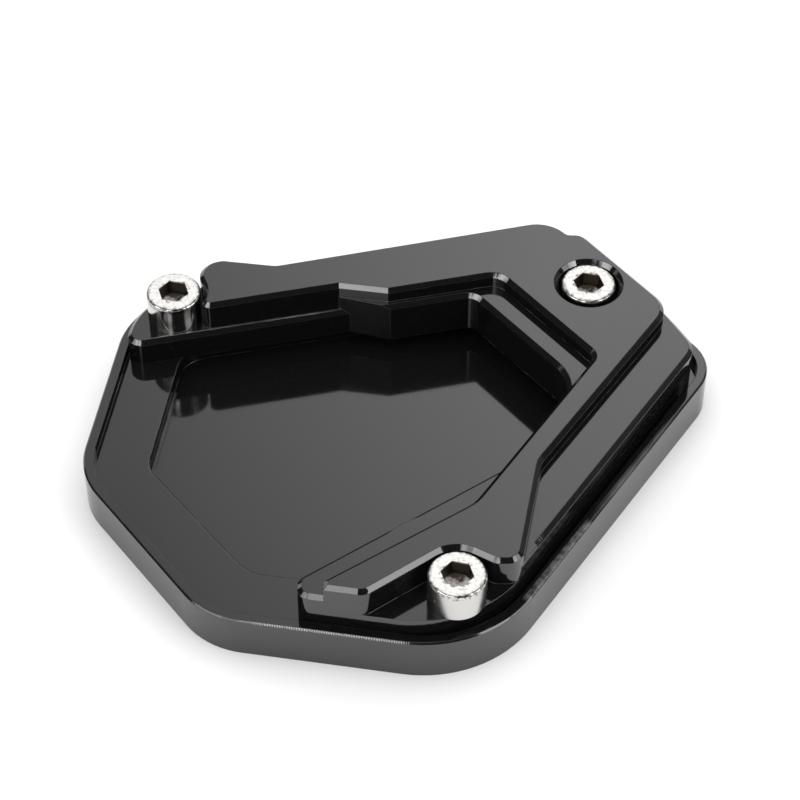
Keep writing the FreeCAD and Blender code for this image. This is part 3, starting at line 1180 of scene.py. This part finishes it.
@dataclass(frozen=True)
class Room:
    """The room: white to the camera, its panels in reflections, and soft light from above.

    Attributes:
        cloth_light: Brightness of the overhead cloth, which lights and isn't seen.
        cloth_way: Azimuth and elevation of its middle.
        cloth_edge: Cosines of the angles from its middle where it starts and where it is full.
        fill_light: Brightness of the rest of the room, as light.
        fill_mirrored: Its brightness in reflections.
    """

    cloth_light: float = 1.75
    cloth_way: tuple[float, float] = (178.0, 66.0)
    cloth_edge: Range = (0.1, 0.9)
    fill_light: float = 0.12
    fill_mirrored: float = 0.035

    def build(self, panels: tuple[Panel, ...]) -> bpy.types.World:
        """Makes the world.

        Args:
            panels: What reflections show.

        Returns:
            The world, set as the scene's own.
        """
        world = bpy.data.worlds.new("studio room")
        bpy.context.scene.world = world
        sheet = NodeSheet.of(world)
        way = sheet.add("ShaderNodeTexCoord").outputs["Generated"]
        ray = sheet.add("ShaderNodeLightPath")
        near = sheet.dot(way, tuple(direction(*self.cloth_way)))
        cloth = sheet.spread(near, self.cloth_edge, (self.fill_light, self.cloth_light), smooth=True)
        drawn = sheet.sum(*(panel.draw(sheet, way) for panel in panels))
        mirrored = sheet.larger(drawn, self.fill_mirrored)
        unseen = sheet.blend(ray.outputs["Is Glossy Ray"], cloth, mirrored)
        seen = sheet.larger(ray.outputs["Is Camera Ray"], ray.outputs["Is Transmission Ray"])
        inputs = {"Color": opaque(WHITE), "Strength": sheet.blend(seen, unseen, 1.0)}
        sheet.finish(sheet.add("ShaderNodeBackground", inputs).outputs[0], "ShaderNodeOutputWorld")
        return world


@dataclass(frozen=True)
class Studio:
    """The room, the floor and the lamps.

    Attributes:
        middle: The point that the lamps face.
        lamp_distance: How far they stand from it.
        floor: The floor.
        room: The room round it.
        panels: What reflections show of the room. The lamps are among them.
    """

    middle: Point = (0.0, 0.0, 0.008)
    lamp_distance: float = 2.0
    floor: Floor = Floor()
    room: Room = Room()
    panels: tuple[Panel, ...] = (
        Panel(
            "ceiling", 180.0, 24.0, (38.0, 80.0), Ramp((-4.6, 9.3), (1.40, 0.68)),
            Ramp((44.4, 53.1), (1.16, 0.80)), softness=4.0,
        ),
        Panel(
            "lamp left", -19.0, 8.0, (24.0, 45.4), Ramp.even(2.6),
            Ramp((36.0, 43.5), (1.0, 2.0)), softness=0.4, lamp=True,
        ),
        Panel(
            "lamp mid left", -34.5, 7.5, (24.0, 43.8), Ramp.even(2.6),
            Ramp((38.0, 44.0), (0.76, 2.0)), softness=0.4, lamp=True,
        ),
        Panel(
            "lamp far left", -61.0, 19.0, (23.0, 43.0), Ramp.even(2.1),
            Ramp((32.0, 38.0), (1.15, 2.7)), lamp=True,
        ),
        Panel(
            "lamp right", 58.0, 13.0, (22.0, 43.5), Ramp.even(3.8),
            Ramp((34.0, 42.0), (1.0, 2.1)), lamp=True,
        ),
        Panel("lamp far right", 81.0, 9.0, (16.0, 36.0), Ramp.even(2.4), lamp=True),
        Panel("right wall", 108.0, 16.0, (-1.0, 18.0), Ramp.even(0.17), softness=2.0),
        Panel("front wall", 0.0, 70.0, (1.0, 17.0), Ramp.even(0.40), softness=2.0),
        Panel("back wall", 180.0, 36.0, (1.0, 30.0), Ramp.even(0.50), softness=4.0),
        Panel("window left", -121.0, 27.0, (24.0, 42.0), Ramp.even(0.80), softness=2.0),
        Panel("window right", 121.0, 27.0, (24.0, 42.0), Ramp.even(0.80), softness=2.0),
        Panel("ceiling over the object", 0.0, 190.0, (68.0, 100.0), Ramp.even(0.75), softness=6.0),
    )

    def build(self) -> list[bpy.types.Object]:
        """Makes the floor, the world and the lamps.

        Returns:
            The lamps.
        """
        self.floor.build()
        self.room.build(self.panels)
        return [panel.light(self.middle, self.lamp_distance) for panel in self.panels if panel.lamp]


@dataclass(frozen=True)
class Camera:
    """The camera at the photograph's viewing angle.

    Attributes:
        target: The point on the ground in the middle of the picture.
        elevation: How far it looks down.
        distance: How far it is from the target.
        focal_pixels: Focal length in pixels of the photograph.
        image_pixels: Width of the photograph.
        sensor_width: Width of the sensor in millimetres.
        clip: The nearest and the farthest that it sees.
    """

    target: Point = (-0.000061, 0.014435, 0.0)
    elevation: float = 47.0
    distance: float = 0.4647
    focal_pixels: float = 2510.0
    image_pixels: float = 800.0
    sensor_width: float = 36.0
    clip: Range = (0.01, 50.0)

    def place(self) -> bpy.types.Object:
        """Makes the camera and sets it as the scene's own.

        Returns:
            The camera's object.
        """
        data = bpy.data.cameras.new("camera")
        data.sensor_width = self.sensor_width
        data.lens = self.sensor_width * self.focal_pixels / self.image_pixels
        data.clip_start, data.clip_end = self.clip
        camera = bpy.data.objects.new("camera", data)
        aim(camera, self.target, direction(0.0, self.elevation), self.distance)
        bpy.context.scene.camera = camera
        return camera


def main() -> None:
    """Loads the frame, dresses the object and sets the studio and the camera."""
    logging.basicConfig(level=logging.INFO)
    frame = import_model()
    bpy.context.scene.view_settings.view_transform = "Standard"
    pieces = (
        BasePlate(),
        ClampPlate(),
        Screw("screw_left", Polish.MIRROR),
        Screw("screw_right", Polish.SATIN),
        Screw("screw_front", Polish.SATIN),
    )
    for piece in pieces:
        log.info("dressed %s", piece.dress(frame["nodes"]).name)
    for lamp in Studio().build():
        log.info("lit %s", lamp.name)
    log.info("placed %s", Camera().place().name)


if __name__ == "__main__":
    main()
